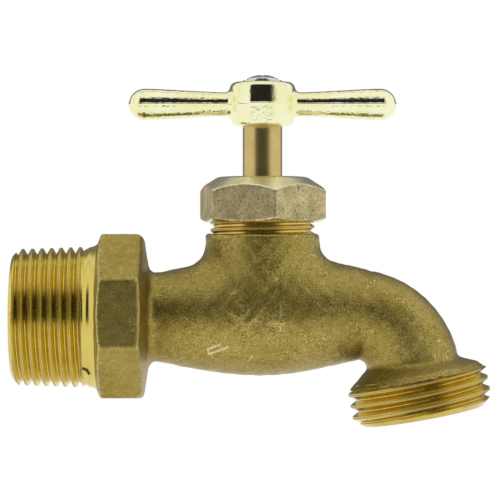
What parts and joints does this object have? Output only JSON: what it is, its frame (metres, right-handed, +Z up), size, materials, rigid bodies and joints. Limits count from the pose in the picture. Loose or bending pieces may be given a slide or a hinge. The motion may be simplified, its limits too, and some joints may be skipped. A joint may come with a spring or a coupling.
{
  "type": "hose bib",
  "caption": "Compression valve with a tee handle, a male pipe inlet and a down-turned male hose outlet.",
  "frame": {"origin": "centre of the inlet's end face", "axes": "+X runs along the inlet into the valve, +Z up the stem; the hose outlet points down, 11 degrees towards +X"},
  "size_m": [0.092, 0.032, 0.0677],
  "materials": {
    "cast_brass": "tumbled sand casting with bright machined threads",
    "nut_brass": "tumbled",
    "turned_brass": "turned and polished",
    "graphite_packing": "matt graphite",
    "washer_rubber": "matt",
    "plated_handle": "bright plated die casting",
    "screw_steel": "zinc plated"
  },
  "bodies": {
    "valve": {"valve_body": "cast_brass", "packing_nut": "nut_brass", "gland_follower": "turned_brass", "packing_ring_upper": "graphite_packing", "packing_ring_lower": "graphite_packing", "packing_washer": "turned_brass"},
    "washer_carrier": {"seat_washer": "washer_rubber"},
    "stem_and_handle": {"stem": "turned_brass", "seat_washer_screw": "turned_brass", "tee_handle": "plated_handle", "handle_screw": "screw_steel", "handle_screw_washer": "screw_steel"}
  },
  "joints": [
    {"name": "stem_lift", "type": "slide", "parent": "valve", "child": "washer_carrier", "axis": [0, 0, 1], "range_m": [0, 0.0057]},
    {"name": "handle_turn", "type": "hinge", "parent": "washer_carrier", "child": "stem_and_handle", "pos_m": [0.0479, 0, 0], "axis": [0, 0, 1], "range_deg": [0, 840]}
  ],
  "couplings": [
    {"joint": "stem_lift", "follows": "handle_turn", "m_per_rad": 0.00038197}
  ]
}
